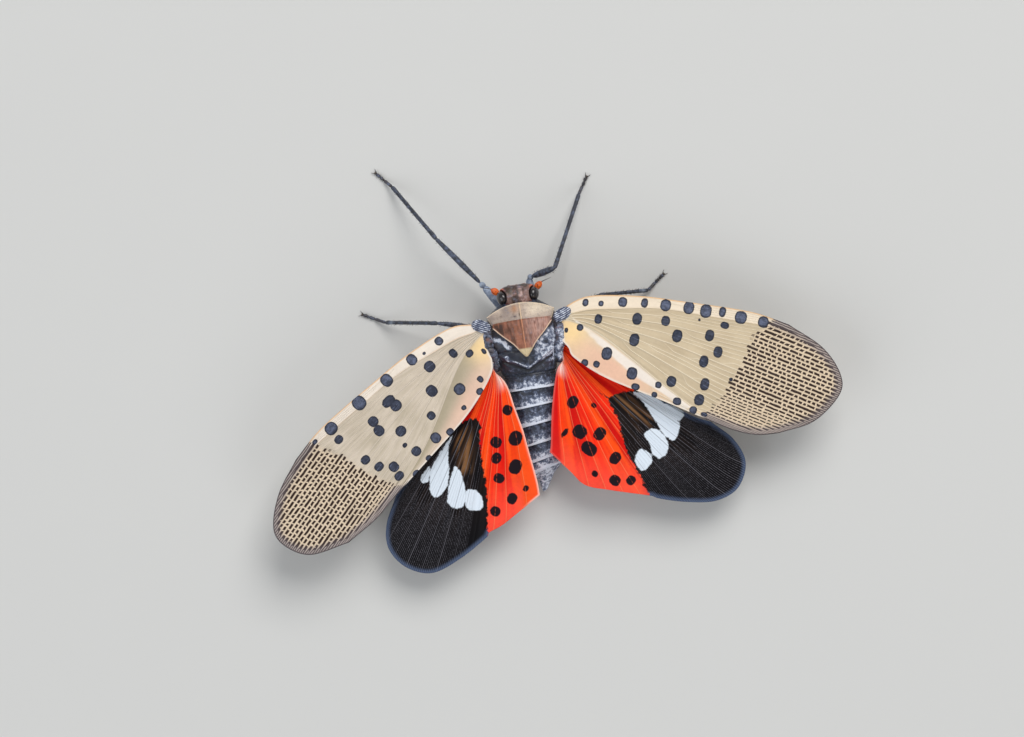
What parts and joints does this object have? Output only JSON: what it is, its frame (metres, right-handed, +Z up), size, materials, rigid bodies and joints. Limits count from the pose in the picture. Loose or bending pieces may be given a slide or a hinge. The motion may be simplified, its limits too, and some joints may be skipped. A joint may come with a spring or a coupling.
{
  "type": "spotted lanternfly",
  "caption": "Still, life-size model of a spotted lanternfly resting on its feet with all its wings spread.",
  "frame": {"origin": "on the floor under the middle of the outer box, which lies under the front of the thorax", "axes": "+Z up from the floor, head towards -Y, the insect's left wings towards +X"},
  "size_m": [0.0424, 0.0298, 0.006],
  "materials": {
    "head_shell": "satin, mottled",
    "eye": "glossy",
    "antenna": "satin",
    "beak": "satin",
    "thorax_flank": "satin with pale wax",
    "metanotum": "satin with white wax",
    "pronotum": "matte",
    "mesonotum": "satin",
    "abdomen": "satin with white wax bands",
    "forewing": "matte membrane, black spots",
    "hindwing": "satin membrane, black and white marked",
    "leg": "satin"
  },
  "bodies": {
    "root": {"head": "head_shell", "eye_left": "eye", "eye_right": "eye", "antenna_left": "antenna", "antenna_right": "antenna", "beak": "beak", "prothorax": "thorax_flank", "mesothorax": "thorax_flank", "metathorax": "metanotum", "pronotum": "pronotum", "mesonotum": "mesonotum", "abdomen": "abdomen", "forewing_left": "forewing", "forewing_right": "forewing", "hindwing_left": "hindwing", "hindwing_right": "hindwing", "leg_fore_left": "leg", "leg_fore_right": "leg", "leg_mid_left": "leg", "leg_mid_right": "leg", "leg_hind_left": "leg", "leg_hind_right": "leg"}
  },
  "joints": []
}
